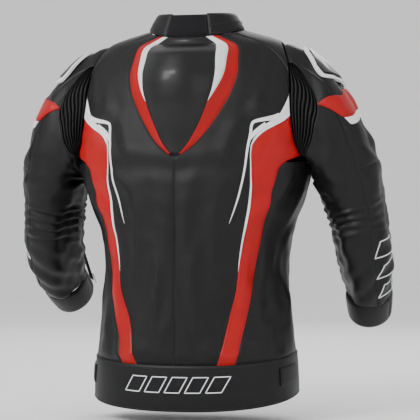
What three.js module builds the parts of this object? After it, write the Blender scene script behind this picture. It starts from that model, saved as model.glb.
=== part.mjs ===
// Leather riding jacket, hung by the loop inside its neck. Millimetres, +Z up, +Y the wearer's front,
// +X the wearer's right. The origin is under the hanger loop, where a peg or hook carries the jacket.
import * as THREE from 'three';

// ---- driving sizes -------------------------------------------------------------------------------
const LEATHER = 4;            // leather, padding and lining together
const PANEL_GAP = 0.45;       // half the gap at a seam, in degrees round the body
const LOOP_SEAT = [0, -50, 645];   // body point that becomes the origin
// Height above the back hem, half width, depth behind the axis.
const BODY_PROFILE = [
  [0, 184, 130], [80, 180, 130], [180, 172, 128], [250, 171, 128], [320, 180, 130], [380, 200, 132],
  [440, 217, 132], [500, 223, 116], [560, 220, 103], [600, 210, 90], [630, 187, 79], [650, 158, 71],
  [672, 88, 66],
];
const FRONT_DEPTH = 110;      // zip line in front of the axis at the hem
const FRONT_LEAN = 0.035;     // the zip line leans back as it rises
const SIDE_LIFT = 24;         // hem at the sides, above the back hem
const NECK_HEIGHT = 672;      // neck seam at the sides of the neck
const NECK_DROP_BACK = 17;
const NECK_DROP_FRONT = 75;
const COLLAR_TOP = { halfWidth: 71, back: 54, front: 80, zBack: 699, zSide: 702, zFront: 652 };
const BAND_TOP = 80;          // waistband height
const HUMP_RISE = 56;         // how far the hump stands off the back
const HUMP_TIP = 446;
const ARMHOLE = { angle: 88, height: 541, spread: 32, half: 107, power: 2.4 };
const SLEEVE_HEAD = 180;      // length counted along the sleeve before the arm tube starts
const ARM_START = [275, 9, 413];
const ELBOW = [289, 31, 345];
const FOREARM_STEPS = [70, 72, 60];
const FOREARM_ANGLES = { 1: [14, 27, 38], [-1]: [24, 41, 52] };  // forward of straight down

// ---- small helpers -------------------------------------------------------------------------------
const rad = THREE.MathUtils.degToRad;
const vec = (x, y, z) => new THREE.Vector3(x, y, z);
const mix = (a, b, t) => a + (b - a) * t;
function ease(a, b, x) {
  const t = Math.min(Math.max((x - a) / (b - a), 0), 1);
  return t * t * (3 - 2 * t);
}

// Smooth curve through rows of [x, ...values], without overshoot.
function curve(rows, x, column) {
  const last = rows.length - 1;
  const at = Math.min(Math.max(x, rows[0][0]), rows[last][0]);
  let k = 0;
  while (k < last - 1 && at > rows[k + 1][0]) k += 1;
  const slope = (i) => (rows[i + 1][column] - rows[i][column]) / (rows[i + 1][0] - rows[i][0]);
  const tangent = (i) => {
    if (i === 0) return slope(0);
    if (i === last) return slope(last - 1);
    const a = slope(i - 1), b = slope(i);
    return a * b <= 0 ? 0 : 2 * a * b / (a + b);
  };
  const span = rows[k + 1][0] - rows[k][0];
  const t = (at - rows[k][0]) / span;
  return (2 * t ** 3 - 3 * t * t + 1) * rows[k][column] + (t ** 3 - 2 * t * t + t) * span * tangent(k)
    + (3 * t * t - 2 * t ** 3) * rows[k + 1][column] + (t ** 3 - t * t) * span * tangent(k + 1);
}

// ---- body surface: angle 0 at the centre back, 90 at the right side, 180 at the zip -----------------
function bodyHeight(angle, h) {
  const c = Math.cos(rad(angle));
  const hem = SIDE_LIFT * (1 - c) * (1 - ease(0, 260, h));
  const neck = NECK_DROP_BACK * Math.max(c, 0) ** 1.5 + NECK_DROP_FRONT * Math.max(-c, 0) ** 1.5;
  return h + hem - neck * ease(470, NECK_HEIGHT, h);
}
function torso(angle, h) {
  const s = Math.sin(rad(angle)), c = Math.cos(rad(angle));
  const e = 2 / (2.3 - 0.3 * ease(560, NECK_HEIGHT, h));
  const front = FRONT_DEPTH - FRONT_LEAN * bodyHeight(180, h);
  const depth = c > 0 ? -curve(BODY_PROFILE, h, 2) : front;
  return vec(curve(BODY_PROFILE, h, 1) * Math.sign(s) * Math.abs(s) ** e, depth * Math.abs(c) ** e,
    bodyHeight(angle, h));
}
// Half width of the hump with its stripe, in degrees, and how its rise grows with height.
const HUMP_HALF = [
  [HUMP_TIP, 1.6], [470, 7.5], [505, 13.5], [548, 19.5], [590, 24.5], [630, 30], [658, 38],
];
const HUMP_GROWTH = [
  [HUMP_TIP, 0.04], [500, 0.42], [560, 0.8], [610, 1], [640, 0.98], [652, 0.7], [660, 0.1],
];
const PIPING_SHARE = 0.64;    // the smooth middle's share of that width
const humpEdge = (h) => curve(HUMP_HALF, h, 1);
const humpPiping = (h) => humpEdge(h) * PIPING_SHARE;
function humpRise(angle, h) {
  const across = Math.min(Math.abs(angle) / humpEdge(h), 1);
  return HUMP_RISE * curve(HUMP_GROWTH, h, 1) * (1 - across * across) ** 1.5;
}
function skin(angle, h) {
  const p = torso(angle, h);
  p.y -= h > HUMP_TIP ? humpRise(angle, h) : 0;
  return p;
}
function collar(angle, v) {
  const s = Math.sin(rad(angle)), c = Math.cos(rad(angle));
  const foot = torso(angle, NECK_HEIGHT);
  const side = 1 - Math.abs(c) ** 1.5;
  const rim = mix(c > 0 ? COLLAR_TOP.zBack : COLLAR_TOP.zFront, COLLAR_TOP.zSide, side);
  const reach = c > 0 ? -COLLAR_TOP.back : COLLAR_TOP.front;
  const top = vec(COLLAR_TOP.halfWidth * s, reach * Math.abs(c), rim);
  foot.z += 1.5;
  return foot.lerp(top, v);
}

// ---- sleeve surface: angle 0 outside, 90 behind, 180 inside, 270 in front; v runs down the arm -------
function armholePoint(angle) {
  const s = Math.sin(rad(angle)), c = Math.cos(rad(angle)), e = 2 / ARMHOLE.power;
  const round = ARMHOLE.angle - (ARMHOLE.spread - 1) * Math.sign(s) * Math.abs(s) ** e;
  return torso(round, ARMHOLE.height + (ARMHOLE.half - 3) * Math.sign(c) * Math.abs(c) ** e);
}
// Angles round the body where the armhole crosses a height; the back edge first.
function armholeSpan(h) {
  const q = Math.min(Math.abs(h - ARMHOLE.height) / ARMHOLE.half, 1);
  const w = ARMHOLE.spread * (1 - q ** ARMHOLE.power) ** (1 / ARMHOLE.power);
  return [ARMHOLE.angle - w, ARMHOLE.angle + w];
}
function armLine(side) {
  const points = [vec(...ARM_START), vec(...ELBOW)];
  FOREARM_STEPS.forEach((step, i) => {
    const a = rad(FOREARM_ANGLES[side][i]);
    const stride = vec(step * 0.1 * (1 - i), step * Math.sin(a), -step * Math.cos(a));
    points.push(points.at(-1).clone().add(stride));
  });
  return new THREE.CatmullRomCurve3(points, false, 'centripetal');
}
const armCurves = { 1: armLine(1), [-1]: armLine(-1) };
const armLength = (side) => SLEEVE_HEAD + armCurves[side].getLength();
const ARM_WIDTH = [[0, 61, 64], [48, 57, 60], [90, 55, 60], [150, 52, 55], [215, 43, 46], [290, 37, 41]];
function armFrame(side, d) {
  const path = armCurves[side];
  const u = Math.min(Math.max(d / path.getLength(), 0), 1);
  const centre = path.getPointAt(u), along = path.getTangentAt(u);
  centre.addScaledVector(along, d - u * path.getLength());
  const out = vec(1, 0, 0.12).addScaledVector(along, -along.dot(vec(1, 0, 0.12))).normalize();
  return { centre, along, out, behind: along.clone().cross(out) };
}
function armTube(side, angle, d) {
  const f = armFrame(side, d);
  return f.centre.clone().addScaledVector(f.out, curve(ARM_WIDTH, d, 1) * Math.cos(rad(angle)))
    .addScaledVector(f.behind, curve(ARM_WIDTH, d, 2) * Math.sin(rad(angle)));
}
function sleeve(side, angle, v) {
  if (v >= SLEEVE_HEAD) return armTube(side, angle, v - SLEEVE_HEAD);
  const c = Math.cos(rad(angle)), s = Math.sin(rad(angle));
  const top = Math.max(c, 0), under = Math.max(-c, 0), sides = Math.abs(s);
  const a = armholePoint(angle), d = armTube(side, angle, 0);
  const leave = vec(1 - 0.55 * under, -0.12 * s, -0.05 * top - 0.9 * under).normalize();
  const b = a.clone().addScaledVector(leave, 8 + 66 * top + 30 * sides);
  const e = d.clone().addScaledVector(armFrame(side, 0).along, -(6 + 55 * top + 34 * sides));
  const t = v / SLEEVE_HEAD, w = 1 - t;
  return a.multiplyScalar(w ** 3).addScaledVector(b, 3 * w * w * t).addScaledVector(e, 3 * w * t * t)
    .addScaledVector(d, t ** 3);
}

// ---- solids --------------------------------------------------------------------------------------
const finish = {
  leather: { color: 0x1d1d20, roughness: 0.42, metalness: 0 },
  red: { color: 0xc6242c, roughness: 0.4, metalness: 0 },
  mesh: { color: 0x232326, roughness: 0.6, metalness: 0 },
  stretch: { color: 0x2c2c30, roughness: 0.75, metalness: 0 },
  neoprene: { color: 0x333336, roughness: 0.85, metalness: 0 },
  armour: { color: 0x101012, roughness: 0.18, metalness: 0 },
  foam: { color: 0x4a4c50, roughness: 0.9, metalness: 0 },
  tape: { color: 0x18181a, roughness: 0.85, metalness: 0 },
  metal: { color: 0x8d9094, roughness: 0.32, metalness: 1 },
  webbing: { color: 0x202022, roughness: 0.85, metalness: 0 },
};
const part = new THREE.Group();
part.name = 'riding_jacket';
const frame = new THREE.Group();
frame.name = 'body_frame';
frame.position.set(...LOOP_SEAT.map((x) => -x));
part.add(frame);

function addMesh(name, positions, index, kind) {
  let volume = 0;
  const p = (i) => vec(...positions.slice(3 * i, 3 * i + 3));
  for (let i = 0; i < index.length; i += 3) {
    volume += p(index[i]).dot(p(index[i + 1]).cross(p(index[i + 2])));
  }
  if (volume < 0) index.reverse();
  const geometry = new THREE.BufferGeometry();
  geometry.setAttribute('position', new THREE.Float32BufferAttribute(positions, 3));
  geometry.setIndex(index);
  geometry.computeVertexNormals();
  const mesh = new THREE.Mesh(geometry, new THREE.MeshStandardMaterial({ ...finish[kind], name: kind }));
  mesh.name = name;
  frame.add(mesh);
  return mesh;
}

// A closed sheet of leather over a surface. place(s, row) gives the two surface coordinates for s from
// 0 to 1. lift moves the outer face off the surface; a ring is closed round s.
function shell(name, kind, surface, place, options) {
  const { cols, rows, thick = LEATHER, lift = 0, ring = false, side = 1 } = options;
  const across = ring ? cols : cols + 1;
  const positions = [];
  for (const depth of [lift, lift - thick]) {
    rows.forEach((row) => {
      for (let i = 0; i < across; i += 1) {
        const [a, b] = place(i / cols, row);
        const du = surface(a + 0.3, b).sub(surface(a - 0.3, b));
        const dv = surface(a, b + 0.3).sub(surface(a, b - 0.3));
        const p = surface(a, b).addScaledVector(du.cross(dv).normalize(), depth);
        positions.push(side * p.x, p.y, p.z);
      }
    });
  }
  const inner = across * rows.length, index = [];
  const quad = (a, b, c, d) => index.push(a, b, c, a, c, d);
  const at = (i, j) => j * across + (i % across);
  for (let j = 0; j < rows.length - 1; j += 1) {
    for (let i = 0; i < cols; i += 1) {
      quad(at(i, j), at(i + 1, j), at(i + 1, j + 1), at(i, j + 1));
      quad(inner + at(i, j), inner + at(i, j + 1), inner + at(i + 1, j + 1), inner + at(i + 1, j));
    }
  }
  for (const j of [0, rows.length - 1]) {
    for (let i = 0; i < cols; i += 1) {
      const a = at(i, j), b = at(i + 1, j);
      if (j) quad(a, b, inner + b, inner + a); else quad(b, a, inner + a, inner + b);
    }
  }
  if (!ring) {
    for (const i of [0, cols]) {
      for (let j = 0; j < rows.length - 1; j += 1) {
        const a = at(i, j), b = at(i, j + 1);
        if (i) quad(b, a, inner + a, inner + b); else quad(a, b, inner + b, inner + a);
      }
    }
  }
  return addMesh(name, positions, index, kind);
}

// A straight profile, drawn in (across, off) and run along a direction from a start point.
function strip(name, kind, start, along, off, length, shape, side = 1) {
  const corners = shape.map(([x, y]) => new THREE.Vector2(x, y));
  const outline = THREE.ShapeUtils.isClockWise(corners) ? [...shape].reverse() : shape;
  const d = along.clone().normalize();
  const n = off.clone().addScaledVector(d, -off.dot(d)).normalize();
  const w = d.clone().cross(n);
  const positions = [], index = [], m = outline.length;
  for (const l of [0, length]) {
    for (const [x, y] of outline) {
      const p = start.clone().addScaledVector(d, l).addScaledVector(w, x).addScaledVector(n, y);
      positions.push(side * p.x, p.y, p.z);
    }
  }
  for (let i = 0; i < m; i += 1) {
    const j = (i + 1) % m;
    index.push(i, j, m + j, i, m + j, m + i);
  }
  const flat = outline.map(([x, y]) => new THREE.Vector2(x, y));
  for (const [a, b, c] of THREE.ShapeUtils.triangulateShape(flat, [])) {
    index.push(a, c, b, m + a, m + b, m + c);
  }
  return addMesh(name, positions, index, kind);
}
const box = (x0, x1, y0, y1) => [[x0, y0], [x1, y0], [x1, y1], [x0, y1]];

// Rows every 30 mm plus the two ends, so that neighbouring panels share their rows.
function levels(from, to, extra = []) {
  const rows = [from];
  for (let h = Math.ceil((from + 6) / 30) * 30; h < to - 6; h += 30) rows.push(h);
  return [...new Set([...rows, ...extra.filter((x) => x > from && x < to), to])].sort((a, b) => a - b);
}
const between = (low, high) => (s, h) => [mix(low(h) + PANEL_GAP, high(h) - PANEL_GAP, s), h];
const SIDES = [[1, 'right'], [-1, 'left']];

// ---- seams, as angles round the body -------------------------------------------------------------
const STRIPE_INNER = [
  [80, 21], [165, 30], [216, 34.5], [292, 37], [385, 38.5], [462, 37], [500, 42], [520, 50], [556, 56.4],
];
const STRIPE_OUTER = [
  [80, 32], [173, 43], [232, 48], [284, 52], [348, 56.5], [386, 57], [422, 60], [446, 75],
];
const stripeInner = (h) => curve(STRIPE_INNER, h, 1);
const stripeOuter = (h) => (h < 446 ? curve(STRIPE_OUTER, h, 1) : armholeSpan(h)[0]);
const frontFold = (h) => curve([[80, 117], [300, 137], [600, 156], [672, 160]], h, 1);
const YOKE_BACK = 58, YOKE_FRONT = 118;
const BODY_TOP = NECK_HEIGHT - 0.5, BAND_SEAM = BAND_TOP + 1;
const armholeLow = ARMHOLE.height - ARMHOLE.half;
const SIDE_SEAM = 100;        // angle of the side seam, before it turns in to the armhole
const sideSeam = (h) => mix(SIDE_SEAM, ARMHOLE.angle, ease(350, armholeLow - 4, h));
function foldBack(h) {
  if (h < armholeLow + 6) return sideSeam(h) + ease(350, armholeLow - 4, h);
  const edge = armholeSpan(h)[1];
  return h < 560 ? edge : Math.max(edge, YOKE_FRONT);
}
const panelTop = (h) => Math.min(armholeSpan(h)[0], YOKE_BACK);
const yokeFoot = (angle) => {
  const q = Math.min(Math.abs(angle - ARMHOLE.angle) / ARMHOLE.spread, 1);
  return ARMHOLE.height + ARMHOLE.half * (1 - q ** ARMHOLE.power) ** (1 / ARMHOLE.power);
};
// Half the gap between the two fronts, as an angle: 11 mm on each side of the zip line.
const zipGap = (h) => {
  const e = 2 / (2.3 - 0.3 * ease(560, NECK_HEIGHT, h));
  return THREE.MathUtils.radToDeg(Math.asin((11 / curve(BODY_PROFILE, h, 1)) ** (1 / e)));
};

// ---- back and sides ------------------------------------------------------------------------------
const HUMP_ROWS = [454, 462, 470, 490, 510, 540, 570, 600, 625, 640, 648, 654, 660, 666, BODY_TOP];
shell('back_hump', 'leather', skin, (s, h) => [mix(-1, 1, s) * (humpPiping(h) - PANEL_GAP), h],
  { cols: 10, rows: HUMP_ROWS });
shell('waistband_back', 'leather', torso, (s, h) => [mix(-113, 113, s), h],
  { cols: 28, rows: [0, 40, BAND_TOP], thick: 6, lift: 1 });
shell('collar_back', 'neoprene', collar, (s, v) => [mix(-27, 27, s), v],
  { cols: 6, rows: [0, 0.5, 0.93], thick: 5 });

// The zip line: ten millimetres behind the front of the chest, leaning back as it rises.
const ZIP_FOOT = 52, ZIP_LENGTH = 535, ZIP_TOP = 588.5;
const zipUp = vec(0, -FRONT_LEAN, 1);
const zipPoint = (z) => vec(0, FRONT_DEPTH - FRONT_LEAN * z - 10, z);

for (const [side, hand] of SIDES) {
  const opts = (o) => ({ side, ...o });
  shell(`hump_stripe_${hand}`, 'red', skin, between(humpPiping, humpEdge),
    opts({ cols: 3, rows: HUMP_ROWS }));
  shell(`back_panel_${hand}`, 'mesh', skin,
    between((h) => (h < 448 ? -0.3 : humpEdge(h)), (h) => (h < 556 ? stripeInner(h) : panelTop(h))),
    opts({ cols: 5, rows: levels(BAND_SEAM, BODY_TOP, [430, 448, 500, 520, 556, 615, ...HUMP_ROWS]) }));
  shell(`side_stripe_${hand}`, 'red', torso, between(stripeInner, stripeOuter),
    opts({ cols: 3, rows: levels(BAND_SEAM, 548, [430, 446, 500, 520, 535]) }));
  shell(`side_panel_${hand}`, 'leather', torso,
    between(stripeOuter, sideSeam), opts({ cols: 5, rows: levels(BAND_SEAM, 426) }));
  shell(`front_fold_${hand}`, 'leather', torso, between(foldBack, frontFold),
    opts({ cols: 5, rows: levels(BAND_SEAM, BODY_TOP, [430, 446, 500, 520, 556, 615, 660]) }));
  shell(`shoulder_yoke_${hand}`, 'leather', torso,
    (s, w) => {
      const a = mix(YOKE_BACK + PANEL_GAP, YOKE_FRONT - PANEL_GAP, s);
      return [a, mix(yokeFoot(a) + 4, BODY_TOP, w)];
    },
    opts({ cols: 8, rows: [0, 0.25, 0.45, 0.6, 0.75, 0.9, 1] }));
  shell(`front_panel_${hand}`, 'leather', torso, between(frontFold, (h) => 180 - zipGap(h) + PANEL_GAP),
    opts({ cols: 4, rows: levels(BAND_SEAM, BODY_TOP, [430, 500, 556, 615, 660]) }));
  shell(`waistband_front_${hand}`, 'leather', torso, (s, h) => [mix(114.4, 180 - zipGap(h), s), h],
    opts({ cols: 7, rows: [0, 40, BAND_TOP], thick: 6, lift: 1 }));
  const collarRows = { cols: 7, rows: [0, 0.5, 1], thick: 5 };
  shell(`collar_side_${hand}`, 'leather', collar, (s, v) => [mix(28, 99, s), v], opts(collarRows));
  shell(`collar_front_${hand}`, 'leather', collar, (s, v) => [mix(100.6, 177, s), v], opts(collarRows));
  shell(`waist_tab_${hand}`, 'leather', torso, (s, h) => [mix(66, 88, s), h],
    opts({ cols: 3, rows: [30, 62], thick: 3, lift: 5 }));

  // Zip tape with its row of teeth, straight from hem to neck on the zip line.
  strip(`main_zip_${hand}`, 'tape', zipPoint(ZIP_FOOT), zipUp, vec(0, 1, 0), ZIP_LENGTH,
    [[-1.4, 2.2], [-1.4, -2.2], [-5, -2.2], [-5, -0.7], [-16, -0.7], [-16, 0.7], [-5, 0.7], [-5, 2.2]],
    side);

  // Slanted pocket zip on each front.
  const low = torso(141, 150), high = torso(147, 262);
  const run = high.clone().sub(low);
  const mid = torso(144, 206);
  const face = vec(0.42, 1, 0).normalize();
  const rise = mid.clone().sub(low.clone().lerp(high, 0.5)).dot(face);
  const foot = low.clone().addScaledVector(face, Math.max(0, rise) + 3.4);
  strip(`pocket_zip_${hand}`, 'tape', foot, run, face, run.length(),
    [[-9, -0.6], [9, -0.6], [9, 0.6], [2, 0.6], [2, 2.4], [-2, 2.4], [-2, 0.6], [-9, 0.6]], side);
  const up = run.clone().normalize();
  const parked = foot.clone().addScaledVector(up, run.length() - 16);
  strip(`pocket_slider_${hand}`, 'metal', parked, run, face, 11,
    [[-4.2, 0.9], [-2.4, 0.9], [-2.4, 2.8], [2.4, 2.8], [2.4, 0.9], [4.2, 0.9], [4.2, 4.6], [-4.2, 4.6]],
    side);
  strip(`pocket_pull_${hand}`, 'metal', foot.clone().addScaledVector(up, run.length() - 44), run, face, 30,
    box(-3, 3, 5.1, 6.7), side);

  // ---- sleeve ------------------------------------------------------------------------------------
  const arm = (a, v) => sleeve(side, a, v);
  const end = armLength(side);
  const ringRows = (from, to, step) => {
    const n = Math.max(1, Math.round((to - from) / step));
    return Array.from({ length: n + 1 }, (_, i) => mix(from, to, i / n));
  };
  const around = (s, v) => [360 * s, v];
  shell(`shoulder_stretch_${hand}`, 'stretch', arm, around,
    opts({ cols: 24, rows: [3, 22, 42, 62], ring: true }));
  shell(`upper_sleeve_${hand}`, 'leather', arm, around,
    opts({ cols: 22, rows: [69, 100, 130, 160, 182, 205, 228], ring: true }));
  shell(`elbow_stretch_${hand}`, 'stretch', arm, around,
    opts({ cols: 22, rows: [229.5, 248, 266, 278], ring: true }));
  shell(`forearm_${hand}`, 'leather', arm, around,
    opts({ cols: 22, rows: ringRows(279.5, end - 52, 26), ring: true }));
  shell(`cuff_${hand}`, 'leather', arm, around,
    opts({ cols: 22, rows: ringRows(end - 50.5, end, 26), ring: true }));
  shell(`shoulder_cup_${hand}`, 'armour', arm,
    (s, w) => {
      const k = 1 - (2 * s - 1) ** 2;
      return [mix(-62, 36, s), mix(mix(44, 30, k), mix(56, 70, k), w)];
    },
    opts({ cols: 10, rows: [0, 0.33, 0.67, 1], thick: 4, lift: 6.5 }));
  shell(`arm_band_${hand}`, 'red', arm,
    (s, w) => {
      const a = mix(-34, 72, s);
      return [a, mix(86 - 0.16 * a, 115 - 0.14 * a, w)];
    },
    opts({ cols: 9, rows: [0, 0.5, 1], thick: 2.4, lift: 3.4 }));

  // Cuff zip along the inner front of the forearm.
  const za = arm(232, end - 108), zb = arm(232, end - 4);
  const zo = za.clone().lerp(zb, 0.5).sub(armFrame(side, end - 56 - SLEEVE_HEAD).centre).normalize();
  const zm = arm(232, end - 56).sub(za.clone().lerp(zb, 0.5)).dot(zo);
  const zFoot = zb.clone().addScaledVector(zo, Math.max(0, zm) + 3.2);
  const zRun = za.clone().sub(zb);
  strip(`cuff_zip_${hand}`, 'tape', zFoot, zRun, zo, zRun.length(),
    [[-6, -0.6], [6, -0.6], [6, 0.6], [1.6, 0.6], [1.6, 2], [-1.6, 2], [-1.6, 0.6], [-6, 0.6]], side);
  const zUp = zRun.clone().normalize();
  strip(`cuff_slider_${hand}`, 'metal', zFoot.clone().addScaledVector(zUp, 3), zRun, zo, 9,
    [[-3.4, 0.9], [-2, 0.9], [-2, 2.4], [2, 2.4], [2, 0.9], [3.4, 0.9], [3.4, 4], [-3.4, 4]], side);
  strip(`cuff_pull_${hand}`, 'metal', zFoot.clone().addScaledVector(zUp, -14), zRun, zo, 24,
    box(-2.4, 2.4, 4.5, 5.9), side);
}

// ---- main zip slider, parked at the top of the zip -------------------------------------------------
const zipTop = zipPoint(ZIP_TOP);
strip('main_slider', 'metal', zipTop.clone().addScaledVector(zipUp, -16), zipUp, vec(0, 1, 0), 20,
  [[-6, 2.6], [-0.9, 2.6], [-0.9, -2.6], [-6, -2.6], [-6, -4], [6, -4], [6, -2.6], [0.9, -2.6],
    [0.9, 2.6], [6, 2.6], [6, 4.6], [-6, 4.6]]);
strip('main_pull', 'metal', zipTop.clone().addScaledVector(zipUp, -46), zipUp, vec(0, 1, 0), 42,
  box(-4, 4, 5.2, 7));
shell('collar_tab', 'leather', collar, (s, v) => [mix(171, 190, s), v],
  { cols: 4, rows: [0.55, 0.95], thick: 2.5, lift: 3.2 });

// ---- inside --------------------------------------------------------------------------------------
shell('back_protector', 'foam', torso, (s, h) => [mix(-1, 1, s) * mix(19, 26, ease(150, 380, h)), h],
  { cols: 8, rows: [150, 210, 270, 330, 390, 440, 480, 520, 550], thick: 12, lift: -8 });
// A webbing loop hung inside the neck; its clear underside is the seat.
{
  const outline = [];
  const steps = 14;
  for (const r of [0, 1]) {
    for (let i = 0; i <= steps; i += 1) {
      const a = Math.PI * (r ? steps - i : i) / steps;
      const half = r ? 26 : 24, high = r ? 20 : 18;
      outline.push([half * Math.cos(a), high * Math.sin(a)]);
    }
  }
  const low = vec(0, LOOP_SEAT[1] - 4, LOOP_SEAT[2] - 18);
  strip('hanger_loop', 'webbing', low, vec(0, 1, 0), vec(0, 0, 1), 8, outline);
}
// Flat tape inside the back of the waist that a pair of trousers zips on to.
strip('trouser_zip', 'tape', vec(0, -100, 18), vec(0, 0, 1), vec(0, 1, 0), 26, box(-78, 78, -1, 1));

export default part;
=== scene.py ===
"""Leather riding jacket: panels, seams, stitching, stretch inserts and zips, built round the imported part.

Lengths are millimetres on the jacket until to_frame() turns them into metres in the part's frame.
On the body an angle is 0 at the centre back, 90 at the side and 180 at the zip. On a sleeve it is 0
outside, 90 behind, 180 inside and 270 in front, and the second value runs down the arm.
"""

import math

import bmesh
import bpy
import numpy as np
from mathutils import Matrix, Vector


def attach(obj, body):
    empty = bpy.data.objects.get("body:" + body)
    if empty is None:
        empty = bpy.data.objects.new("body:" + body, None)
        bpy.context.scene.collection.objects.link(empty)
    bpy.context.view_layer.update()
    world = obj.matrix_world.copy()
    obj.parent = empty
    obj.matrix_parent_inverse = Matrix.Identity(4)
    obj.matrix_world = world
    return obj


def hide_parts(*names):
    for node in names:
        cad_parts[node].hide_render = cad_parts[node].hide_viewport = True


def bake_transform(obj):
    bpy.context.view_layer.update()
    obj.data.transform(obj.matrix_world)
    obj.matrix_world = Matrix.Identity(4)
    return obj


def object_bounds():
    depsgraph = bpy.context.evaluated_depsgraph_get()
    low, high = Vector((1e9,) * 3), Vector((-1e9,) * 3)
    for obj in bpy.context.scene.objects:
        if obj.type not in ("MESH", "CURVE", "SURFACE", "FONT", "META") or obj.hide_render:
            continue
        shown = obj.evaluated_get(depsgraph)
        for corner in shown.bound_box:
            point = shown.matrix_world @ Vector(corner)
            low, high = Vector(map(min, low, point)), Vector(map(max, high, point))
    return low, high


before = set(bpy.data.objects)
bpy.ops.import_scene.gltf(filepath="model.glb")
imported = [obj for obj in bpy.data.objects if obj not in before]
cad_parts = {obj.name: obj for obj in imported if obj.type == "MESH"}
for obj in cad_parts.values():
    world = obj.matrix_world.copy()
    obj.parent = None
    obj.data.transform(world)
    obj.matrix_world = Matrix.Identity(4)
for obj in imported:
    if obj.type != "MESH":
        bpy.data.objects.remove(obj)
CAD_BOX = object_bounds()

bl_info = {
    "name": "Riding Jacket",
    "version": (1, 0, 0),
    "blender": (4, 5, 0),
    "location": "View3D > Sidebar > Jacket",
    "description": "Sews the visible panels and fittings of a leather riding jacket round its frame",
    "category": "Object",
}

SIDES = (("right", 1), ("left", -1))

# --- Pattern: the same driving sizes as the part ---
LOOP_SEAT = np.array([0.0, -50.0, 645.0])
BODY_PROFILE = np.array([
    [0, 184, 130], [80, 180, 130], [180, 172, 128], [250, 171, 128], [320, 180, 130], [380, 200, 132],
    [440, 217, 132], [500, 223, 116], [560, 220, 103], [600, 210, 90], [630, 187, 79], [650, 158, 71],
    [672, 88, 66]], float)
NECK_HEIGHT, BAND_TOP = 672.0, 80.0
FRONT_DEPTH, FRONT_LEAN = 110.0, 0.035
SIDE_LIFT, NECK_DROP_BACK, NECK_DROP_FRONT = 24.0, 17.0, 75.0
HUMP_RISE, HUMP_TIP = 56.0, 446.0
HUMP_EDGE = ((446, 1.6), (470, 7.5), (505, 13.5), (548, 19.5), (590, 24.5), (630, 30), (658, 38))
HUMP_ALONG = ((446, 0.04), (500, 0.42), (560, 0.8), (610, 1), (640, 0.98), (652, 0.7), (660, 0.1))
ARMHOLE_ANGLE, ARMHOLE_HEIGHT, ARMHOLE_SPREAD, ARMHOLE_HALF, ARMHOLE_POWER = 88.0, 541.0, 32.0, 107.0, 2.4
SLEEVE_HEAD = 180.0
ARM_START, ELBOW = (275.0, 9.0, 413.0), (289.0, 31.0, 345.0)
FOREARM_STEPS = (70.0, 72.0, 60.0)
FOREARM_ANGLES = {1: (14, 27, 38), -1: (24, 41, 52)}
ARM_WIDTH = ((0, 61, 64), (48, 57, 60), (90, 55, 60), (150, 52, 55), (215, 43, 46), (290, 37, 41))
STRIPE_INNER = ((80, 21), (165, 30), (216, 34.5), (292, 37), (350, 38.2), (385, 37), (417, 35), (462, 33.5),
                (475, 34.4), (485, 36), (498, 39.5), (508, 44), (515, 47.5), (530, 51.4), (556, 56.4))
STRIPE_OUTER = ((80, 32), (173, 43), (232, 48), (284, 52), (320, 53.2), (350, 53.2), (386, 52), (418, 52.5),
                (436, 58), (446, 70))
YOKE_BACK, YOKE_FRONT = 58.0, 118.0
HEAD_END, SLEEVE_CUT, ELBOW_END, CUFF_START, SLEEVE_END = 72.0, 228.5, 279.0, 404.5, 455.0


def curve(rows, x, column=1):
    """Smooth curve through rows of (x, value, ...) without overshoot."""
    rows = np.asarray(rows, float)
    xs, ys = rows[:, 0], rows[:, column]
    x = np.clip(np.asarray(x, float), xs[0], xs[-1])
    k = np.clip(np.searchsorted(xs, x, side="right") - 1, 0, len(xs) - 2)
    slope = np.diff(ys) / np.diff(xs)
    tangent = np.concatenate([slope[:1], np.zeros(len(xs) - 2), slope[-1:]])
    for i in range(1, len(xs) - 1):
        a, b = slope[i - 1], slope[i]
        tangent[i] = 0 if a * b <= 0 else 2 * a * b / (a + b)
    span = xs[k + 1] - xs[k]
    t = (x - xs[k]) / span
    return ((2 * t**3 - 3 * t * t + 1) * ys[k] + (t**3 - 2 * t * t + t) * span * tangent[k]
            + (3 * t * t - 2 * t**3) * ys[k + 1] + (t**3 - t * t) * span * tangent[k + 1])


def ease(a, b, x):
    t = np.clip((np.asarray(x, float) - a) / (b - a), 0, 1)
    return t * t * (3 - 2 * t)


def mix(a, b, t):
    return a + (b - a) * t


def signed_power(x, e):
    return np.sign(x) * np.abs(x) ** e


def to_frame(points, side=1):
    """Jacket millimetres, drawn for the right side, to metres in the part's frame."""
    return (points * np.array([side, 1, 1]) - LOOP_SEAT) * 0.001


# --- Surfaces ---
def body_height(angle, h):
    c = np.cos(np.radians(angle))
    hem = SIDE_LIFT * (1 - c) * (1 - ease(0, 260, h))
    neck = NECK_DROP_BACK * np.maximum(c, 0) ** 1.5 + NECK_DROP_FRONT * np.maximum(-c, 0) ** 1.5
    return h + hem - neck * ease(470, NECK_HEIGHT, h)


def torso(angle, h):
    angle, h = np.broadcast_arrays(np.asarray(angle, float), np.asarray(h, float))
    s, c = np.sin(np.radians(angle)), np.cos(np.radians(angle))
    e = 2 / (2.3 - 0.3 * ease(560, NECK_HEIGHT, h))
    front = FRONT_DEPTH - FRONT_LEAN * body_height(180.0, h)
    depth = np.where(c > 0, -curve(BODY_PROFILE, h, 2), front)
    x = curve(BODY_PROFILE, h, 1) * signed_power(s, e)
    return np.stack([x, depth * np.abs(c) ** e, body_height(angle, h)], -1)


def hump_edge(h):
    return curve(HUMP_EDGE, h)


def hump_piping(h):
    return hump_edge(h) * 0.64


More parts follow.
